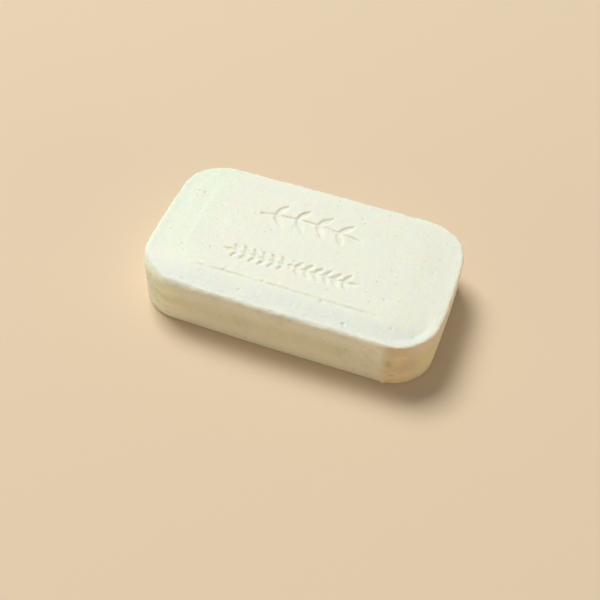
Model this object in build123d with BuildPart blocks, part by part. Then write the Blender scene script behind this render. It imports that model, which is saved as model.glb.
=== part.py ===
from build123d import *
import os

# A pressed bar of toilet soap, one solid piece.
# The block has bowed sides and round corners. Its top has a soft raised rim, a shallow
# trough inside the rim, a border that climbs from the trough, and a low centre panel
# with a leaf pattern pressed into it. The underside is flat.
# +X runs along the bar, +Z is up, and the origin is the middle of the underside.

# block
LENGTH = 96.0  # over the crowns of the bowed ends
WIDTH = 55.4  # over the crowns of the bowed long sides
RIM_HEIGHT = 17.7  # underside to the crest of the rim
END_BOW = 0.9
SIDE_BOW = 0.6
CORNER_RADIUS = 12.6
RIM_ROUND = 1.5
FOOT_ROUND = 0.6

# trough and border, as distances in from the block's outline
RIM_INSET = 1.9
TROUGH_INSET = 3.8
TROUGH_DEPTH = 0.20

# panel: its front margin is wider than its back margin, as the die was set off centre
PANEL_LENGTH = 72.4
PANEL_WIDTH = 37.7
PANEL_SHIFT = 1.9
PANEL_CORNER = 7.5
PANEL_STEP = 0.25
PANEL_ROUND = 0.15
LEDGE = 1.6  # level strip of border round the panel
LEDGE_LEVEL = RIM_HEIGHT + 0.20
PANEL_TOP = LEDGE_LEVEL + PANEL_STEP

# pressed leaf pattern: a short sprig towards the back and a longer garland towards the front
PRESS_DEPTH = 0.55
STEM_BREADTH = 0.8
LEAF_ROOT = 0.3  # how far a leaf reaches back into its stem
SPRIG_CENTRE = (-3.8, 11.9)
SPRIG_LENGTH = 29.0
SPRIG_RISE = 1.4
SPRIG_PAIRS = 4
SPRIG_LEAF = 5.8
SPRIG_LEAF_BREADTH = 1.9
SPRIG_LEAF_TURN = 55.0
GARLAND_CENTRE = (-1.5, -8.1)
GARLAND_HALF = 18.8
GARLAND_PAIRS = 6  # on each half
GARLAND_LEAF = 3.3
GARLAND_LEAF_BREADTH = 1.3
GARLAND_LEAF_TURN = 55.0
GARLAND_BERRY = 1.0


def outline(inset):
    """The block's outline drawn a given distance inside its edge."""
    x = LENGTH / 2 - inset
    y = WIDTH / 2 - inset
    with BuildSketch() as shape:
        with BuildLine():
            ThreePointArc((END_BOW - x, SIDE_BOW - y), (0, -y), (x - END_BOW, SIDE_BOW - y))
            ThreePointArc((x - END_BOW, SIDE_BOW - y), (x, 0), (x - END_BOW, y - SIDE_BOW))
            ThreePointArc((x - END_BOW, y - SIDE_BOW), (0, y), (END_BOW - x, y - SIDE_BOW))
            ThreePointArc((END_BOW - x, y - SIDE_BOW), (-x, 0), (END_BOW - x, SIDE_BOW - y))
        make_face()
        fillet(shape.vertices(), radius=CORNER_RADIUS - inset)
    return shape.sketch


def leaf(length, breadth):
    """A pointed leaf with its tip along +X and its root a little way behind the origin."""
    with BuildSketch() as shape:
        with BuildLine():
            middle = (length - LEAF_ROOT) / 2
            ThreePointArc((-LEAF_ROOT, 0), (middle, breadth / 2), (length, 0))
            ThreePointArc((length, 0), (middle, -breadth / 2), (-LEAF_ROOT, 0))
        make_face()
    return shape.sketch


with BuildPart() as soap_bar:
    # block
    with BuildSketch():
        add(outline(0))
    extrude(amount=RIM_HEIGHT)
    fillet(soap_bar.edges().group_by(Axis.Z)[-1], radius=RIM_ROUND)
    fillet(soap_bar.edges().group_by(Axis.Z)[0], radius=FOOT_ROUND)

    # trough inside the rim
    with BuildSketch(Plane.XY.offset(RIM_HEIGHT - TROUGH_DEPTH)):
        add(outline(TROUGH_INSET))
    with BuildSketch(Plane.XY.offset(RIM_HEIGHT)):
        add(outline(RIM_INSET))
    loft(mode=Mode.SUBTRACT)

    # border, climbing from the trough to the ledge round the panel
    with BuildSketch(Plane.XY.offset(RIM_HEIGHT - TROUGH_DEPTH)):
        add(outline(TROUGH_INSET))
    with BuildSketch(Plane.XY.offset(LEDGE_LEVEL)):
        with Locations((0, PANEL_SHIFT)):
            RectangleRounded(PANEL_LENGTH + 2 * LEDGE, PANEL_WIDTH + 2 * LEDGE, PANEL_CORNER + LEDGE)
    loft()

    # panel
    with BuildSketch(Plane.XY.offset(LEDGE_LEVEL)):
        with Locations((0, PANEL_SHIFT)):
            RectangleRounded(PANEL_LENGTH, PANEL_WIDTH, PANEL_CORNER)
    extrude(amount=PANEL_STEP)
    fillet(soap_bar.edges().group_by(Axis.Z)[-1], radius=PANEL_ROUND)

    # sprig: an arched stem with leaves in pairs and one leaf at its tip
    with BuildSketch(Plane.XY.offset(PANEL_TOP - PRESS_DEPTH)):
        with BuildLine():
            sprig_stem = ThreePointArc(
                (SPRIG_CENTRE[0] - SPRIG_LENGTH / 2, SPRIG_CENTRE[1] - SPRIG_RISE),
                SPRIG_CENTRE,
                (SPRIG_CENTRE[0] + SPRIG_LENGTH / 2, SPRIG_CENTRE[1] - SPRIG_RISE),
            )
        trace(line_width=STEM_BREADTH)
        for pair in range(SPRIG_PAIRS):
            along = (pair + 0.6) / SPRIG_PAIRS
            for side in (-1, 1):
                turn = sprig_stem.tangent_angle_at(along) + side * SPRIG_LEAF_TURN
                with Locations(Pos(sprig_stem @ along) * Rot(0, 0, turn)):
                    add(leaf(SPRIG_LEAF, SPRIG_LEAF_BREADTH))
        with Locations(Pos(sprig_stem @ 1) * Rot(0, 0, sprig_stem.tangent_angle_at(1))):
            add(leaf(SPRIG_LEAF, SPRIG_LEAF_BREADTH))
    extrude(amount=2 * PRESS_DEPTH, mode=Mode.SUBTRACT)

    # garland: a berry in the middle of a straight stem, and leaves that point away from it
    with BuildSketch(Plane.XY.offset(PANEL_TOP - PRESS_DEPTH)):
        with Locations(GARLAND_CENTRE):
            Rectangle(2 * GARLAND_HALF, STEM_BREADTH)
            Circle(GARLAND_BERRY)
        for outward, heading in ((1, 0), (-1, 180)):
            tip = GARLAND_CENTRE[0] + outward * GARLAND_HALF
            with Locations(Pos(tip, GARLAND_CENTRE[1]) * Rot(0, 0, heading)):
                add(leaf(GARLAND_LEAF, GARLAND_LEAF_BREADTH))
            for pair in range(GARLAND_PAIRS):
                root = GARLAND_CENTRE[0] + outward * GARLAND_HALF * (pair + 0.5) / GARLAND_PAIRS
                for side in (-1, 1):
                    turn = heading + side * GARLAND_LEAF_TURN
                    with Locations(Pos(root, GARLAND_CENTRE[1]) * Rot(0, 0, turn)):
                        add(leaf(GARLAND_LEAF, GARLAND_LEAF_BREADTH))
    extrude(amount=2 * PRESS_DEPTH, mode=Mode.SUBTRACT)

soap_bar.part.label = "soap_bar"
os.makedirs("parts", exist_ok=True)
export_step(soap_bar.part, "parts/soap_bar.step")
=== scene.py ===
import math

import bpy
from mathutils import Matrix, Vector


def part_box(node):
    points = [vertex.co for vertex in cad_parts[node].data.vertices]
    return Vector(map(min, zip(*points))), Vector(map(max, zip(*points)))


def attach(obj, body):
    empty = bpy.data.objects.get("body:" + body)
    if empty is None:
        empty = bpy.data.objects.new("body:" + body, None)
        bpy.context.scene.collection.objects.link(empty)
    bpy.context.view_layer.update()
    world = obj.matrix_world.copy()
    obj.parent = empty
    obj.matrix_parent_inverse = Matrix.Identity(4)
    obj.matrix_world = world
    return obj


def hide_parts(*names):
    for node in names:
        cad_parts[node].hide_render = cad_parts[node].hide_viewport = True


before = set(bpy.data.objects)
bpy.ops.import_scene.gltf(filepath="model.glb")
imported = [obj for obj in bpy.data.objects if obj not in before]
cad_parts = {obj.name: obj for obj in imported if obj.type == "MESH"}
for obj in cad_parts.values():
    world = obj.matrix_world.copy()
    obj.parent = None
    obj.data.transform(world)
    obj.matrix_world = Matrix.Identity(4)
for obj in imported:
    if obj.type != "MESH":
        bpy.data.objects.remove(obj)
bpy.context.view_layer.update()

MM = 0.001


# ---------------------------------------------------------------------------
# The bar
# One block of milled ivory soap, stamped in a two-part die while still plastic, with a
# soft rim, a low centre panel and a leaf pattern. Handling has since worn the rim and
# one corner, scuffed and smudged the walls and pitted the faces.
# ---------------------------------------------------------------------------

bar_low, bar_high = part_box("soap_bar")
PANEL_RISE = 0.45 * MM  # how far the panel stands above the rim

bar_sizes = {
    "Length": bar_high.x - bar_low.x,
    "Width": bar_high.y - bar_low.y,
    "Rim Height": bar_high.z - bar_low.z - PANEL_RISE,
    "End Bow": 0.9 * MM,
    "Side Bow": 0.6 * MM,
    "Corner Radius": 12.6 * MM,
    "Rim Round": 1.8 * MM,
    "Foot Round": 0.7 * MM,
    "Rim Inset": 1.3 * MM,
    "Trough Inset": 3.6 * MM,
    "Trough Depth": 0.20 * MM,
    "Panel Length": 72.4 * MM,
    "Panel Width": 37.7 * MM,
    "Panel Shift": 1.9 * MM,
    "Panel Corner": 7.5 * MM,
    "Panel Step": 0.25 * MM,
    "Panel Rise": PANEL_RISE,
    "Ledge": 1.6 * MM,
    "Crease Depth": 0.09 * MM,
    "Scratch Burr": 0.05 * MM,
    "Press Depth": 0.55 * MM,
    "Press Shoulder": 0.45 * MM,
    "Mesh Step": 0.30 * MM,
    "Seed": 4.0,
}

bar_tree = bpy.data.node_groups.new("pressed_bar", "GeometryNodeTree")
bar_tree.interface.new_socket("Mesh", in_out="OUTPUT", socket_type="NodeSocketGeometry")
bar_inputs = {}
for name in bar_sizes:
    bar_inputs[name] = bar_tree.interface.new_socket(name, in_out="INPUT", socket_type="NodeSocketFloat")
bar_inputs["Soap"] = bar_tree.interface.new_socket("Soap", in_out="INPUT", socket_type="NodeSocketMaterial")
bar_entry = bar_tree.nodes.new("NodeGroupInput")
tree_in_hand = bar_tree


class Field:
    """A number that varies over the bar. Arithmetic on it adds Math nodes to the tree in hand."""

    def __init__(self, socket):
        self.socket = socket

    def __add__(self, other):
        return calc("ADD", self, other)

    def __radd__(self, other):
        return calc("ADD", other, self)

    def __sub__(self, other):
        return calc("SUBTRACT", self, other)

    def __rsub__(self, other):
        return calc("SUBTRACT", other, self)

    def __mul__(self, other):
        return calc("MULTIPLY", self, other)

    def __rmul__(self, other):
        return calc("MULTIPLY", other, self)

    def __truediv__(self, other):
        return calc("DIVIDE", self, other)

    def __neg__(self):
        return calc("MULTIPLY", self, -1.0)


def feed(socket, value):
    """Joins a field to a socket, or sets the socket where the value is a plain one."""
    if isinstance(value, Field):
        tree_in_hand.links.new(value.socket, socket)
    else:
        socket.default_value = value


def step(kind, settings=None, **values):
    """Adds one node; values go to the inputs of those names, with underscores for spaces."""
    node = tree_in_hand.nodes.new(kind)
    for name, setting in (settings or {}).items():
        setattr(node, name, setting)
    for name, value in values.items():
        feed(node.inputs[name.replace("_", " ")], value)
    return node


def calc(operation, *values):
    node = step("ShaderNodeMath", {"operation": operation})
    for socket, value in zip(node.inputs, values):
        feed(socket, value)
    return Field(node.outputs[0])


def size(name):
    return Field(bar_entry.outputs[name])


def maximum(a, b):
    return calc("MAXIMUM", a, b)


def minimum(a, b):
    return calc("MINIMUM", a, b)


def hypotenuse(a, b):
    return calc("SQRT", a * a + b * b)


def ramp(value, start, end, low=0.0, high=1.0):
    """Goes smoothly from low to high as value goes from start to end."""
    node = step(
        "ShaderNodeMapRange",
        {"interpolation_type": "SMOOTHSTEP"},
        Value=value,
        From_Min=start,
        From_Max=end,
        To_Min=low,
        To_Max=high,
    )
    return Field(node.outputs["Result"])


def vector(x, y, z):
    return Field(step("ShaderNodeCombineXYZ", X=x, Y=y, Z=z).outputs[0])


def parts_of(vector_field):
    node = step("ShaderNodeSeparateXYZ", Vector=vector_field)
    return [Field(socket) for socket in node.outputs]


def place():
    return Field(step("GeometryNodeInputPosition").outputs[0])


def moved(mesh, position, selection=True):
    node = step("GeometryNodeSetPosition", Geometry=mesh, Position=position, Selection=selection)
    return Field(node.outputs[0])


def lumps(where, wavelength, detail=1.0, seed=0.0):
    """Smooth unevenness, from about -1 to 1, with lumps about a wavelength apart."""
    node = step(
        "ShaderNodeTexNoise",
        {"noise_dimensions": "4D"},
        Vector=where,
        W=seed,
        Scale=1.0 / wavelength,
        Detail=detail,
    )
    return (Field(node.outputs[0]) - 0.5) * 3.0


def shaken(where, wavelength, amount):
    """A place moved by up to about half the amount, each lump of soap another way."""
    noise = step("ShaderNodeTexNoise", Vector=where, Scale=1.0 / wavelength, Detail=1.0)
    shift = step("ShaderNodeVectorMath", {"operation": "SUBTRACT"})
    feed(shift.inputs[0], Field(noise.outputs["Color"]))
    feed(shift.inputs[1], (0.5, 0.5, 0.5))
    shifted = step("ShaderNodeVectorMath", {"operation": "MULTIPLY_ADD"})
    for socket, value in zip(shifted.inputs, (Field(shift.outputs[0]), amount, where)):
        feed(socket, value)
    return Field(shifted.outputs[0])


def joined(*meshes):
    node = step("GeometryNodeJoinGeometry")
    for mesh in meshes:
        bar_tree.links.new(mesh.socket, node.inputs[0])
    return Field(node.outputs[0])


def rounded_distance(x, y, half_x, half_y, radius):
    """Distance outside a rectangle with round corners, negative inside it."""
    over_x = calc("ABSOLUTE", x) - half_x + radius
    over_y = calc("ABSOLUTE", y) - half_y + radius
    outside = hypotenuse(maximum(over_x, 0.0), maximum(over_y, 0.0))
    return outside + minimum(maximum(over_x, over_y), 0.0) - radius


# Blank: a box of small squares. Its hidden underside is thinned to large ones.
half_x = size("Length") / 2.0 - size("End Bow")
half_y = size("Width") / 2.0 - size("Side Bow")
wall_rows = 26
blank = step(
    "GeometryNodeMeshCube",
    Size=vector(half_x * 2.0, half_y * 2.0, 1.0),
    Vertices_X=half_x * 2.0 / size("Mesh Step"),
    Vertices_Y=half_y * 2.0 / size("Mesh Step"),
    Vertices_Z=wall_rows,
)
x, y, z = parts_of(place())
thinned = 12.0 * size("Mesh Step")
foot_strip = 2.0 * MM


def snapped(value, half):
    """Gathers values into the middle of their large square, inside the strip along the edge."""
    reach = calc("FLOOR", (half - foot_strip) / thinned) * thinned
    middle = (calc("FLOOR", value / thinned) + 0.5) * thinned
    inside = calc("LESS_THAN", calc("ABSOLUTE", value), reach)
    return middle, inside


middle_x, inside_x = snapped(x, half_x)
middle_y, inside_y = snapped(y, half_y)
under = calc("LESS_THAN", z, -0.499)
thin_blank = moved(
    Field(blank.outputs["Mesh"]), vector(middle_x, middle_y, z), inside_x * inside_y * under
)
thin_blank = Field(
    step("GeometryNodeMergeByDistance", Geometry=thin_blank, Distance=0.01 * MM).outputs[0]
)

# Plan: the box's square corners are drawn in to round ones and its sides bow out.
x, y, z = parts_of(place())
radius = size("Corner Radius")
corner_x = maximum(calc("ABSOLUTE", x) - half_x + radius, 0.0) / radius
corner_y = maximum(calc("ABSOLUTE", y) - half_y + radius, 0.0) / radius
round_x = corner_x * calc("SQRT", 1.0 - corner_y * corner_y / 2.0)
round_y = corner_y * calc("SQRT", 1.0 - corner_x * corner_x / 2.0)
side_x = calc("SIGN", x)
side_y = calc("SIGN", y)
plan_x = side_x * (minimum(calc("ABSOLUTE", x), half_x - radius) + radius * round_x)
plan_y = side_y * (minimum(calc("ABSOLUTE", y), half_y - radius) + radius * round_y)
inset = -rounded_distance(plan_x, plan_y, half_x, half_y, radius)
reach = hypotenuse(round_x, round_y)
out_x = side_x * round_x / reach
out_y = side_y * round_y / reach
bow_x = size("End Bow") * (1.0 - plan_y * plan_y / half_y / half_y) * plan_x / half_x
bow_y = size("Side Bow") * (1.0 - plan_x * plan_x / half_x / half_x) * plan_y / half_y
flat_x = plan_x + bow_x
flat_y = plan_y + bow_y

# Height: the wall's rows crowd towards the rim and the foot, and both edges are rounded.
share = z + 0.5
crowding = 0.6 / math.tau
height = size("Rim Height") * (share - crowding * calc("SINE", share * math.tau))


def edge_round(edge_radius, depth):
    """How far outwards and upwards a point near an edge moves to lie on the edge's round."""
    over_out = maximum(edge_radius - inset, 0.0)
    over_up = maximum(edge_radius - depth, 0.0)
    near = calc("GREATER_THAN", over_up, 0.0)
    pull = (edge_radius / hypotenuse(over_out, over_up) - 1.0) * near
    return over_out * pull, over_up * pull


def patch(x, y, at_x, at_y, breadth):
    """A soft round patch: 1 at its middle and 0 outside its breadth."""
    return ramp(hypotenuse(x - at_x * MM, y - at_y * MM), breadth * MM, 0.0)


# Places on the plan: middle x, middle y and breadth, in mm.
WORN_CORNER = (-38.0, -25.0, 18.0)
FULL_CORNER = (41.0, -20.0, 13.0)
BACK_CORNER = (-32.0, 20.5, 7.0)
BURR = (35.9, -27.3, 1.3)

# The rim is half as round at the back and the ends as along the front, and rounder still
# at the worn corner.
worn_corner = patch(flat_x, flat_y, *WORN_CORNER)
soft_front = ramp(flat_y, -14.0 * MM, -24.0 * MM) * ramp(flat_x, 38.0 * MM, 18.0 * MM)
rim_radius = size("Rim Round") * (0.5 + soft_front * 0.5 + worn_corner * 1.1)
rim_out, rim_up = edge_round(rim_radius, size("Rim Height") - height)
foot_out, foot_up = edge_round(size("Foot Round"), height)

# Face: rim, trough, domed border, ledge and panel, each a height added to the flat top.
panel_distance = rounded_distance(
    flat_x,
    flat_y - size("Panel Shift"),
    size("Panel Length") / 2.0,
    size("Panel Width") / 2.0,
    size("Panel Corner"),
)
flat_place = vector(flat_x, flat_y, 0.0)
panel_distance = panel_distance + lumps(flat_place, 9.0 * MM, 2.0, seed=size("Seed") + 15.0) * (0.32 * MM)
SMEAR = 1.1 * MM  # how far the rim is smeared inwards along a part of the front
smeared = ramp(flat_x, -2.0 * MM, 3.0 * MM) * ramp(flat_x, 21.5 * MM, 20.5 * MM)
smeared = smeared * calc("LESS_THAN", flat_y, 0.0) * SMEAR
ragged = lumps(flat_place, 6.0 * MM, 2.0, seed=size("Seed") + 17.0) * (0.75 * MM)
front_share = ramp(flat_y, -10.0 * MM, -21.0 * MM) * ramp(flat_x, -43.0 * MM, -33.0 * MM)
left_share = ramp(flat_x, 0.0, -46.0 * MM)
full_corner = patch(flat_x, flat_y, *FULL_CORNER)
trough_depth = size("Trough Depth") * (0.1 + left_share * 0.2 + front_share * 2.1 + full_corner * 0.4)
trough = ramp(inset - smeared + ragged, size("Rim Inset"), size("Trough Inset")) * trough_depth
into_border = inset - size("Trough Inset") + 0.3 * MM
past_trough = (into_border + hypotenuse(into_border, 1.4 * MM)) / 2.0
before_ledge = maximum(panel_distance - size("Ledge"), 0.0)
climb = past_trough / (past_trough + before_ledge)
border_rise = size("Panel Rise") - size("Panel Step") + trough_depth
border = border_rise * (1.0 - (1.0 - climb) * (1.0 - climb))
# The panel's step is crisp only along the front and part of the left, and worn away
# elsewhere. A fine crease runs in front of it, and two scratches mark the front border.
front_line = ramp(flat_y, -13.0 * MM, -15.5 * MM) * ramp(calc("ABSOLUTE", flat_x), 34.0 * MM, 28.0 * MM)
left_line = ramp(flat_x, -32.0 * MM, -34.0 * MM) * ramp(flat_y, -10.0 * MM, -6.0 * MM)
left_line = left_line * ramp(flat_y, 9.0 * MM, 5.0 * MM)
breaks = ramp(lumps(flat_place, 6.0 * MM, 1.0, seed=size("Seed") + 19.0), -0.7, 0.1, 0.3)
back_corner = patch(flat_x, flat_y, *BACK_CORNER)
crisp = maximum(maximum(front_line, left_line * 0.75), back_corner * 0.3) * breaks
faded_right = ramp(flat_x, 22.0 * MM, 36.0 * MM)
step_breadth = (2.3 - crisp * 2.0 + faded_right * 2.5) * MM
panel = ramp(panel_distance, step_breadth, step_breadth * -0.5) * size("Panel Step")
CREASE_INSET = 0.35 * MM  # in front of the panel's edge
CREASE_BREADTH = 1.0 * MM
SCRATCHES = ((-6.8, -21.5, 1.7), (-6.0, -21.3, 1.0))  # middle x, middle y and half length, in mm
SCRATCH_LEAN = 0.08
SCRATCH_BREADTH = 0.4 * MM


def scratched(x, y):
    """1 along the middle of the scratches and 0 away from them."""
    share = 0.0
    for at_x, at_y, half_length in SCRATCHES:
        along = y - at_y * MM
        off = calc("ABSOLUTE", x - at_x * MM + along * SCRATCH_LEAN)
        ends = ramp(calc("ABSOLUTE", along), half_length * MM, half_length * 0.5 * MM)
        share = maximum(share, ramp(off, SCRATCH_BREADTH, 0.0) * ends)
    return share


off_crease = calc("ABSOLUTE", panel_distance - CREASE_INSET)
crease = ramp(off_crease, CREASE_BREADTH, 0.0) * front_line * breaks * size("Crease Depth")
scratch = scratched(flat_x, flat_y)

# Pattern: a sprig towards the back and a longer garland towards the front, laid out flat.
STEM = 0.55 * MM
LEAF_ROOT = 0.25 * MM  # how far a leaf reaches back into its stem
SPRIG_X = -3.8 * MM
SPRIG_Y = 11.9 * MM
SPRIG_LENGTH = 29.0 * MM
SPRIG_RISE = 1.4 * MM
SPRIG_PAIRS = 4
SPRIG_LEAF = 5.8 * MM
SPRIG_LEAF_BREADTH = 1.6 * MM
SPRIG_LEAF_TURN = math.radians(55.0)
GARLAND_X = -1.5 * MM
GARLAND_Y = -8.1 * MM
GARLAND_HALF = 18.8 * MM
GARLAND_PAIRS = 6  # on each half
GARLAND_LEAF = 3.3 * MM
GARLAND_LEAF_BREADTH = 1.0 * MM
GARLAND_LEAF_TURN = math.radians(55.0)
GARLAND_BERRY = 0.8 * MM


def strip(length, breadth, columns):
    """A flat strip along X with its middle at the origin."""
    node = step(
        "GeometryNodeMeshGrid", Size_X=length, Size_Y=breadth, Vertices_X=columns, Vertices_Y=3
    )
    return Field(node.outputs["Mesh"])


def leaf(length, breadth):
    """A flat pointed leaf with its tip along +X and its root a little way behind the origin."""
    whole = length + LEAF_ROOT
    along_x, across, _ = parts_of(place())
    along = along_x / whole + 0.5
    bulge = along * (1.0 - along) * 4.0
    return moved(strip(whole, breadth, 13), vector(along_x + whole / 2 - LEAF_ROOT, across * bulge, 0.0))


def leaves(count, one, x, y, turn):
    """Copies of one leaf at x, y and turned, where those are worked out from the leaf's number."""
    line = Field(step("GeometryNodeMeshLine", Count=count).outputs[0])
    points = moved(line, vector(x, y, 0.0))
    node = step(
        "GeometryNodeInstanceOnPoints", Points=points, Instance=one, Rotation=vector(0.0, 0.0, turn)
    )
    return Field(node.outputs[0])


number = Field(step("GeometryNodeInputIndex").outputs[0])
along_x, across, _ = parts_of(place())
arch = along_x * along_x * (-4.0 * SPRIG_RISE / SPRIG_LENGTH**2) + SPRIG_Y
sprig_stem = moved(strip(SPRIG_LENGTH, STEM, 33), vector(along_x + SPRIG_X, across + arch, 0.0))

place_on_stem = minimum((calc("FLOOR", number / 2.0) + 0.6) / SPRIG_PAIRS, 1.0)
off_middle = place_on_stem * 2.0 - 1.0
which_side = calc("MODULO", number, 2.0) * 2.0 - 1.0
paired = calc("LESS_THAN", number, 2.0 * SPRIG_PAIRS - 0.5)
sprig_leaves = leaves(
    2 * SPRIG_PAIRS + 1,
    leaf(SPRIG_LEAF, SPRIG_LEAF_BREADTH),
    off_middle * (SPRIG_LENGTH / 2) + SPRIG_X,
    off_middle * off_middle * -SPRIG_RISE + SPRIG_Y,
    which_side * paired * SPRIG_LEAF_TURN - off_middle * (4.0 * SPRIG_RISE / SPRIG_LENGTH),
)

garland_stem = moved(
    strip(2.0 * GARLAND_HALF, STEM, 3), vector(along_x + GARLAND_X, across + GARLAND_Y, 0.0)
)
one_garland_leaf = leaf(GARLAND_LEAF, GARLAND_LEAF_BREADTH)
outward = calc("LESS_THAN", number, 2.0 * GARLAND_PAIRS - 0.5) * 2.0 - 1.0
place_on_half = (calc("MODULO", calc("FLOOR", number / 2.0), GARLAND_PAIRS) + 0.5) / GARLAND_PAIRS
garland_leaves = leaves(
    4 * GARLAND_PAIRS,
    one_garland_leaf,
    outward * place_on_half * GARLAND_HALF + GARLAND_X,
    GARLAND_Y,
    which_side * GARLAND_LEAF_TURN + (1.0 - outward) * (math.pi / 2),
)
garland_tips = leaves(
    2, one_garland_leaf, which_side * GARLAND_HALF + GARLAND_X, GARLAND_Y, (1.0 - number) * math.pi
)
berry = step("GeometryNodeMeshCircle", {"fill_type": "NGON"}, Vertices=16, Radius=GARLAND_BERRY)
berry = moved(Field(berry.outputs["Mesh"]), vector(along_x + GARLAND_X, across + GARLAND_Y, 0.0))
pattern = Field(
    step(
        "GeometryNodeRealizeInstances",
        Geometry=joined(sprig_stem, sprig_leaves, garland_stem, garland_leaves, garland_tips, berry),
    ).outputs[0]
)
nearest = step(
    "GeometryNodeProximity",
    {"target_element": "FACES"},
    Geometry=pattern,
    Sample_Position=shaken(flat_place, 2.2 * MM, (0.9 * MM, 0.9 * MM, 0.0)),
)
off_pattern = Field(nearest.outputs["Distance"])
unevenness = 0.80 + lumps(flat_place, 5.0 * MM, seed=size("Seed") + 11.0) * 0.35
pressed = ramp(off_pattern, size("Press Shoulder"), 0.0) * unevenness

# Form: everything above put together. Only the top face carries the relief. The right end
# is a little fuller than the left, and its wall leans out.
on_top = ramp(size("Rim Height") - height, 2.5 * MM, 0.0)
top_face = calc("GREATER_THAN", z, 0.499)
swell = lumps(flat_place, 22.0 * MM, seed=size("Seed") + 3.0) * (0.07 * MM) * top_face
ripple = lumps(flat_place, 6.0 * MM, seed=size("Seed") + 5.0) * (0.02 * MM) * top_face
relief = border + panel - trough - crease - pressed * size("Press Depth") + scratch * size("Scratch Burr")
relief = relief * top_face + swell + ripple
solid_place = vector(flat_x, flat_y, height)
edge_wobble = lumps(solid_place, 7.0 * MM, 1.0, seed=size("Seed") + 7.0) * (0.10 * MM)
edge_fray = lumps(solid_place, 2.4 * MM, 1.0, seed=size("Seed") + 8.0) * (0.22 * MM)
edge_fray = edge_fray * (1.0 - worn_corner * 0.8 + ramp(flat_y, 16.0 * MM, 26.0 * MM) * 0.8)
wall_wobble = lumps(solid_place, 14.0 * MM, 3.0, seed=size("Seed") + 9.0) * (0.10 * MM)
near_edge = ramp(inset, 3.0 * MM, 0.0)
BURR_REACH = 0.5 * MM
foot_burr = patch(flat_x, flat_y, *BURR) * ramp(height, 2.0 * MM, 0.8 * MM) * BURR_REACH
FULLNESS = 0.45 * MM  # how far the full corner stands out
END_FULLNESS = 0.38 * MM  # how far the right end does
END_LEAN = 0.60 * MM  # how far the right end's wall leans out at its rim
right_end = ramp(flat_x, 36.0 * MM, 46.0 * MM)
fullness = maximum(full_corner * FULLNESS, right_end * END_FULLNESS)
lean = right_end * ramp(flat_y, 20.0 * MM, 8.0 * MM) * ramp(flat_y, -22.0 * MM, -12.0 * MM)
lean = lean * ramp(inset, 10.0 * MM, 0.0) * (height / size("Rim Height")) * END_LEAN
outwards = ((edge_wobble + edge_fray) * on_top + wall_wobble + fullness) * near_edge
outwards = rim_out + foot_out + outwards + lean + foot_burr
crest = lumps(flat_place, 4.0 * MM, 2.0, seed=size("Seed") + 13.0) * (0.15 * MM) * near_edge * on_top
formed = moved(
    thin_blank,
    vector(
        flat_x + out_x * outwards,
        flat_y + out_y * outwards,
        height + rim_up - foot_up + relief + crest,
    ),
)

# Wear: pits in the faces and dents along the rim. Each is a soft round hollow whose
# middle is first drawn onto the nearest surface.
MARKS = (  # middle and radius, in mm
    (-27.2, -19.9, 18.0, 0.55),
    (-13.2, -22.5, 17.8, 0.75),
    (-7.3, -16.9, 18.1, 0.60),
    (-35.5, -13.8, 18.0, 0.50),
    (-4.8, -0.2, 18.1, 0.60),
    (29.8, -10.6, 18.1, 0.70),
    (35.0, -20.3, 17.9, 0.70),
    (21.0, -23.6, 17.7, 0.95),
    (-39.2, 12.7, 18.0, 0.65),
    (-39.2, 10.2, 18.0, 0.55),
    (-42.8, -6.0, 17.8, 0.55),
    (13.6, 19.5, 18.1, 0.60),
    (40.9, 5.8, 17.9, 0.60),
    (-20.7, -17.0, 18.1, 0.50),
)
PITS_PER_SQUARE_METRE = 12000.0
GOLDEN_SHARE = 0.618  # spreads the scattered pits' sizes evenly
HOLLOW_SHARE = 0.5  # a mark's depth as a share of its radius
middles = [
    Field(step("GeometryNodePoints", Position=(x * MM, y * MM, z * MM), Radius=r * MM).outputs[0])
    for x, y, z, r in MARKS
]
scatter = step(
    "GeometryNodeDistributePointsOnFaces",
    Mesh=formed,
    Density=PITS_PER_SQUARE_METRE,
    Seed=size("Seed"),
)
spread = calc("FRACT", number * GOLDEN_SHARE)
scatter = step(
    "GeometryNodeSetPointRadius",
    Points=Field(scatter.outputs["Points"]),
    Radius=(0.20 + spread * spread * 0.30) * MM,
)
middles = joined(*middles, Field(scatter.outputs[0]))
surface = step("GeometryNodeProximity", Geometry=formed, Sample_Position=place())
middles = moved(middles, Field(surface.outputs["Position"]))
shaken_place = shaken(place(), 1.5 * MM, (0.8 * MM, 0.8 * MM, 0.3 * MM))
to_mark = step(
    "GeometryNodeProximity",
    {"target_element": "POINTS"},
    Geometry=middles,
    Sample_Position=shaken_place,
)
which = step("GeometryNodeSampleNearest", Geometry=middles, Sample_Position=shaken_place)
mark_radius = step(
    "GeometryNodeSampleIndex",
    Geometry=middles,
    Value=Field(step("GeometryNodeInputRadius").outputs[0]),
    Index=Field(which.outputs["Index"]),
)
mark_radius = Field(mark_radius.outputs["Value"])
hollow = ramp(Field(to_mark.outputs["Distance"]), mark_radius, 0.0) * mark_radius * -HOLLOW_SHARE
normal = Field(step("GeometryNodeInputNormal").outputs["Normal"])
sink = step("ShaderNodeVectorMath", {"operation": "SCALE"}, Vector=normal, Scale=hollow)
worn = Field(step("GeometryNodeSetPosition", Geometry=formed, Offset=Field(sink.outputs[0])).outputs[0])

finished = Field(step("GeometryNodeSetShadeSmooth", Geometry=worn).outputs[0])
finished = Field(step("GeometryNodeRealizeInstances", Geometry=finished).outputs[0])
finished = Field(step("GeometryNodeSetMaterial", Geometry=finished, Material=size("Soap")).outputs[0])
bar_exit = bar_tree.nodes.new("NodeGroupOutput")
bar_tree.links.new(finished.socket, bar_exit.inputs[0])

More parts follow.
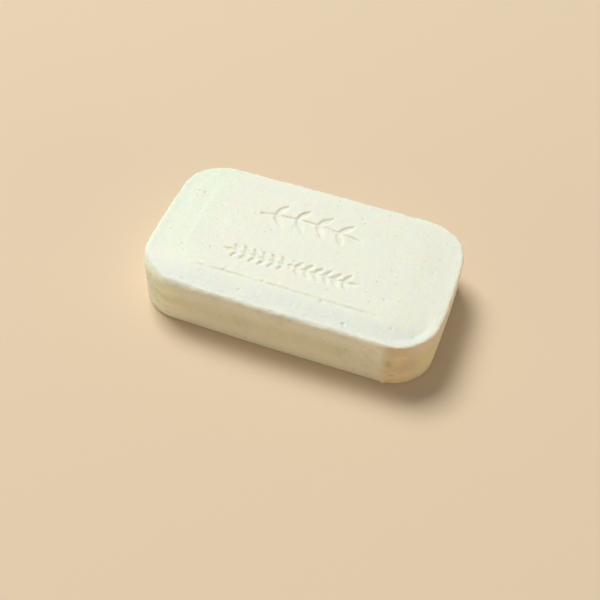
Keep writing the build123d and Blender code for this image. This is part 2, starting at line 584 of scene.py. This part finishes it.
# Soap: ivory milled soap, satin and a little translucent, faintly clouded and speckled.
# The face is greener at its left. Along its front the border carries painted shade, darker
# and cooler where it slopes away from the lamp. The walls are yellower than the face, partly
# their own tone and partly painted warm bounce light, and painted light makes them lighter
# near the rim and the foot. They are paler behind the front on the right end. Painted warm
# bounce light and shade make the right front corner darker and orange, lighter towards its
# foot, and the upper right end yellower. The skin has a fine grain, with level drag lines on
# the walls where the bar slid out of its die. One corner is scuffed and, in part, painted
# lighter where it turns towards the lamp; a rubbed strip lies beside the right front corner.
FACE_TONE = (0.850, 0.875, 0.778, 1.0)
SHADED_BORDER_TONE = (0.780, 0.818, 0.770, 1.0)
LEFT_FACE_TONE = (0.79, 0.875, 0.735, 1.0)
WALL_AND_BOUNCE_TONE = (0.800, 0.755, 0.592, 1.0)
UPPER_WALL_GLOW_TONE = (0.96, 0.94, 0.885, 1.0)
FOOT_BOUNCE_TONE = (1.0, 0.905, 0.755, 1.0)
WORN_AND_LIT_TONE = (1.0, 1.0, 0.76, 1.0)
RUBBED_TONE = (1.0, 0.95, 0.83, 1.0)
SHADED_BOUNCE_TONE = (0.71, 0.47, 0.19, 1.0)
CORNER_FOOT_BOUNCE_TONE = (1.0, 0.70, 0.34, 1.0)
END_BOUNCE_TONE = (1.0, 0.95, 0.42, 1.0)
PALE_END_TONE = (1.0, 1.0, 0.93, 1.0)
CLOUD_TONE = (0.80, 0.79, 0.67, 1.0)
DARK_DAPPLE_TONE = (0.66, 0.58, 0.46, 1.0)
PALE_DAPPLE_TONE = (0.93, 0.86, 0.60, 1.0)
PALE_STREAK_TONE = (0.98, 0.95, 0.84, 1.0)
DARK_STREAK_TONE = (0.55, 0.47, 0.32, 1.0)
PALE_SMEAR_TONE = (1.0, 1.0, 0.90, 1.0)
DARK_SMEAR_TONE = (0.50, 0.40, 0.24, 1.0)
PALE_SCRATCH_TONE = (1.0, 1.0, 0.95, 1.0)
PALE_SPECK_TONE = (0.93, 0.93, 0.88, 1.0)
DARK_SPECK_TONE = (0.56, 0.52, 0.38, 1.0)

soap = bpy.data.materials.new("ivory_soap")
soap.use_nodes = True
tree_in_hand = soap.node_tree
soap_shader = soap.node_tree.nodes["Principled BSDF"]
where = Field(step("ShaderNodeTexCoord").outputs["Object"])
x, y, z = parts_of(where)
_, _, facing_up = parts_of(Field(step("ShaderNodeNewGeometry").outputs["True Normal"]))
wall = ramp(calc("ABSOLUTE", facing_up), 0.90, 0.45)

uneven_place = shaken(where, 1.1 * MM, (1.3 * MM, 1.3 * MM, 1.3 * MM))


def speckles(spacing, breadth, seed):
    """Small round spots, one in about half of the cells of that spacing."""
    shifted = step("ShaderNodeVectorMath", {"operation": "ADD"})
    feed(shifted.inputs[0], uneven_place)
    feed(shifted.inputs[1], (seed, seed, seed))
    cells = step("ShaderNodeTexVoronoi", Vector=Field(shifted.outputs[0]), Scale=1.0 / spacing)
    chance, _, _ = parts_of(Field(cells.outputs["Color"]))
    here = calc("GREATER_THAN", chance, 0.5)
    return ramp(Field(cells.outputs["Distance"]), breadth / spacing, 0.3 * breadth / spacing) * here


def mixed(amount, first, second):
    """A colour between two, which are colours or the output of another mix."""
    node = step("ShaderNodeMix", {"data_type": "RGBA"})
    feed(node.inputs["Factor"], amount)
    for socket, colour in ((node.inputs[6], first), (node.inputs[7], second)):
        feed(socket, colour)
    return Field(node.outputs[2])


cloud = lumps(where, 13.0 * MM, 3.0, seed=1.0)
grain = lumps(where, 0.9 * MM, 2.0, seed=2.0)
dapple = lumps(where, 5.0 * MM, 3.0, seed=4.0)
streaks = lumps(vector(x * 0.15, y * 0.15, z), 1.3 * MM, 3.0, seed=7.0)
smears = lumps(vector(x * 0.35, y * 0.35, z + x * 0.12), 1.7 * MM, 1.0, seed=8.0)
pale_speck = speckles(2.4 * MM, 0.50 * MM, 0.5)
dark_speck = speckles(2.7 * MM, 0.42 * MM, 0.6)
SCUFFED_CORNER = (-41.0, -24.0, 14.0)  # middle x, middle y and breadth, in mm
SMUDGE_X = 37.8 * MM
# Painted warm bounce light and shade: the right front corner's wall is painted darker and orange, as if lit
# by warm light bounced from below.
shaded_bounce_corner = ramp(x, 33.6 * MM, 37.4 * MM) * ramp(x, 47.0 * MM, 41.0 * MM, 0.35, 1.0) * wall
shaded_bounce_corner = shaded_bounce_corner * ramp(y, -6.0 * MM, -16.0 * MM)
pale_end = ramp(x, 45.0 * MM, 47.5 * MM) * ramp(y, -14.0 * MM, -6.0 * MM) * wall
# Painted warm bounce light: the upper part of the right end is painted yellower.
bounce_lit_end = ramp(x, 43.5 * MM, 47.0 * MM) * ramp(y, 0.0, -10.0 * MM) * ramp(z, 16.0 * MM, 9.0 * MM) * wall
# The scuffed left front corner, whose wall is also painted lighter where it turns towards the lamp.
worn_and_lit_wall = patch(x, y, *SCUFFED_CORNER) * wall
scuffed = worn_and_lit_wall * ramp(z, 16.0 * MM, 12.0 * MM)
on_front = ramp(y, -20.0 * MM, -24.0 * MM) * wall
smudged = ramp(calc("ABSOLUTE", x - SMUDGE_X), 2.4 * MM, 1.0 * MM) * on_front
rubbed = ramp(x, 24.0 * MM, 30.0 * MM) * ramp(x, 35.8 * MM, 33.8 * MM)
rubbed = rubbed * ramp(z, 5.0 * MM, 13.0 * MM) * on_front

on_face = ramp(z, 10.0 * MM, 14.0 * MM)
left_face = ramp(x, -28.0 * MM, -37.0 * MM) * ramp(y, -18.0 * MM, -13.0 * MM) * on_face
# Painted shade: the front border is painted darker and cooler where it slopes away from the lamp.
shaded_front_border = ramp(y, -17.0 * MM, -21.0 * MM) * ramp(y, -28.5 * MM, -24.5 * MM) * on_face
tone = mixed(shaded_front_border * 0.80, FACE_TONE, SHADED_BORDER_TONE)
tone = mixed(left_face * 0.7, tone, LEFT_FACE_TONE)
# The walls' yellow tone is partly the soap's own and partly painted warm bounce light from below.
tone = mixed(wall, tone, WALL_AND_BOUNCE_TONE)
# Painted light: the upper walls are painted lighter, a glow of light coming through the soap below the rim.
tone = mixed(wall * ramp(z, 10.0 * MM, 15.0 * MM) * 0.48, tone, UPPER_WALL_GLOW_TONE)
# Painted warm bounce light: the walls are painted lighter and warmer towards the foot.
tone = mixed(wall * ramp(z, 9.5 * MM, 2.5 * MM) * 0.95, tone, FOOT_BOUNCE_TONE)
# Wear and painted light: the scuffed corner's wall is painted paler, partly from its wear and partly from
# light falling on it from the left.
tone = mixed(worn_and_lit_wall * 0.90, tone, WORN_AND_LIT_TONE)
tone = mixed(rubbed * 0.6, tone, RUBBED_TONE)
# Painted bounce light: the corner's tone turns lighter and more orange towards its foot.
corner_bounce = mixed(ramp(z, 8.0 * MM, 4.0 * MM), SHADED_BOUNCE_TONE, CORNER_FOOT_BOUNCE_TONE)
tone = mixed(shaded_bounce_corner * 0.62, tone, corner_bounce)
# Painted warm bounce light on the right end.
tone = mixed(bounce_lit_end * 0.45, tone, END_BOUNCE_TONE)
tone = mixed(pale_end * 0.7, tone, PALE_END_TONE)
tone = mixed(cloud * 0.10 + grain * 0.08 + 0.17, tone, CLOUD_TONE)
tone = mixed(ramp(dapple, 0.0, 0.8) * wall * 0.40, tone, DARK_DAPPLE_TONE)
tone = mixed(ramp(dapple, 0.0, -0.8) * wall * 0.45, tone, PALE_DAPPLE_TONE)
tone = mixed(ramp(streaks, 0.1, 0.7) * (0.12 * wall + 0.50 * scuffed), tone, PALE_STREAK_TONE)
tone = mixed(ramp(streaks, -0.2, -0.9) * (0.10 * wall + 0.35 * scuffed), tone, DARK_STREAK_TONE)
tone = mixed(ramp(smears, 0.0, 0.4) * scuffed * 0.9, tone, PALE_SMEAR_TONE)
tone = mixed(ramp(smears, -0.1, -0.6) * (0.5 * smudged + 0.3 * scuffed), tone, DARK_SMEAR_TONE)
tone = mixed(pale_speck * 0.6, tone, PALE_SPECK_TONE)
tone = mixed(scratched(x, y) * on_face * 0.6, tone, PALE_SCRATCH_TONE)
tone = mixed(dark_speck * (0.25 + wall * 0.3), tone, DARK_SPECK_TONE)
feed(soap_shader.inputs["Base Color"], tone)
feed(soap_shader.inputs["Roughness"], cloud * 0.05 + grain * 0.04 + 0.52)
drag = streaks * (0.04 * wall + 0.05 * scuffed) + smears * (0.30 * scuffed + 0.10 * smudged)
skin = grain * 0.035 + lumps(where, 2.6 * MM, 2.0, seed=3.0) * 0.06 + drag - dark_speck * 0.12
bump = step("ShaderNodeBump", Height=skin * MM, Distance=1.0, Strength=1.0)
soap.node_tree.links.new(bump.outputs["Normal"], soap_shader.inputs["Normal"])
soap_shader.inputs["IOR"].default_value = 1.46
soap_shader.inputs["Subsurface Weight"].default_value = 1.0
soap_shader.inputs["Subsurface Radius"].default_value = (1.0, 0.75, 0.45)
soap_shader.inputs["Subsurface Scale"].default_value = 0.9 * MM

blank_bar = bpy.data.objects.new("blank_bar", bpy.data.meshes.new("blank_bar"))
bpy.context.collection.objects.link(blank_bar)
press = blank_bar.modifiers.new("press", "NODES")
press.node_group = bar_tree
for name, value in bar_sizes.items():
    press[bar_inputs[name].identifier] = value
press[bar_inputs["Soap"].identifier] = soap
bpy.context.view_layer.update()
pressed_bar = blank_bar.evaluated_get(bpy.context.evaluated_depsgraph_get())
soap_bar = bpy.data.objects.new("soap_bar_pressed", bpy.data.meshes.new_from_object(pressed_bar))
bpy.context.collection.objects.link(soap_bar)
bpy.data.objects.remove(blank_bar)
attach(soap_bar, "root")
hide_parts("soap_bar")


# ---------------------------------------------------------------------------
# Studio
# A plain pale floor that runs far behind the bar, soft light and a camera. None of
# it belongs to the bar.
# ---------------------------------------------------------------------------

FLOOR_HALF = 3.0  # metres
floor_mesh = bpy.data.meshes.new("floor")
floor_mesh.from_pydata(
    [(x * FLOOR_HALF, y * FLOOR_HALF, 0) for x, y in ((-1, -1), (1, -1), (1, 1), (-1, 1))],
    [],
    [(0, 1, 2, 3)],
)
floor = bpy.data.objects.new("floor", floor_mesh)
bpy.context.collection.objects.link(floor)
paper = bpy.data.materials.new("pale_paper")
paper.use_nodes = True
paper_shader = paper.node_tree.nodes["Principled BSDF"]
paper_shader.inputs["Base Color"].default_value = (0.76, 0.61, 0.44, 1.0)
paper_shader.inputs["Roughness"].default_value = 0.9
floor_mesh.materials.append(paper)

AZIMUTH = math.radians(18.389)
ELEVATION = math.radians(49.837)
ROLL = math.radians(2.276)
DISTANCE = 329.7 * MM
AIM_HEIGHT = 8.85 * MM
SHIFT_RIGHT = 0.997 * MM
SHIFT_UP = 9.897 * MM
back = Vector(
    (math.sin(AZIMUTH) * math.cos(ELEVATION), -math.cos(AZIMUTH) * math.cos(ELEVATION), math.sin(ELEVATION))
)
level_right = Vector((math.cos(AZIMUTH), math.sin(AZIMUTH), 0))
level_up = back.cross(level_right)
right = level_right * math.cos(ROLL) + level_up * math.sin(ROLL)
up = level_up * math.cos(ROLL) - level_right * math.sin(ROLL)
eye = Vector((0, 0, AIM_HEIGHT)) - right * SHIFT_RIGHT - up * SHIFT_UP + back * DISTANCE
camera_data = bpy.data.cameras.new("camera")
camera_data.lens = 61.33
camera_data.sensor_width = 36.0
camera_data.clip_start = 0.01
camera = bpy.data.objects.new("camera", camera_data)
camera.matrix_world = Matrix(
    (
        (right.x, up.x, back.x, eye.x),
        (right.y, up.y, back.y, eye.y),
        (right.z, up.z, back.z, eye.z),
        (0, 0, 0, 1),
    )
)
bpy.context.collection.objects.link(camera)
bpy.context.scene.camera = camera


def softbox(name, direction, distance, breadth, watts, colour):
    """A square area light, at a distance in a direction from the bar, that faces the bar."""
    data = bpy.data.lights.new(name, "AREA")
    data.shape = "SQUARE"
    data.size = breadth
    data.energy = watts
    data.color = colour
    lamp = bpy.data.objects.new(name, data)
    towards = Vector(direction).normalized()
    lamp.location = towards * distance
    lamp.rotation_euler = towards.to_track_quat("Z", "Y").to_euler()
    bpy.context.collection.objects.link(lamp)
    return lamp


softbox("key", (-0.53, 0.42, 1.0), 3.5, 1.6, 112.0, (1.0, 1.0, 0.96))
softbox("fill_left", (-0.8, -1.0, 0.06), 2.0, 1.0, 8.0, (1.0, 0.85, 0.46))
softbox("fill_right", (1.0, -0.3, 0.05), 2.0, 1.0, 9.6, (1.0, 0.64, 0.26))

world = bpy.data.worlds.new("studio")
world.use_nodes = True
sky = world.node_tree.nodes["Background"]
sky.inputs["Color"].default_value = (0.97, 0.97, 0.93, 1.0)
sky.inputs["Strength"].default_value = 0.25
bpy.context.scene.world = world
bpy.context.scene.view_settings.view_transform = "Standard"
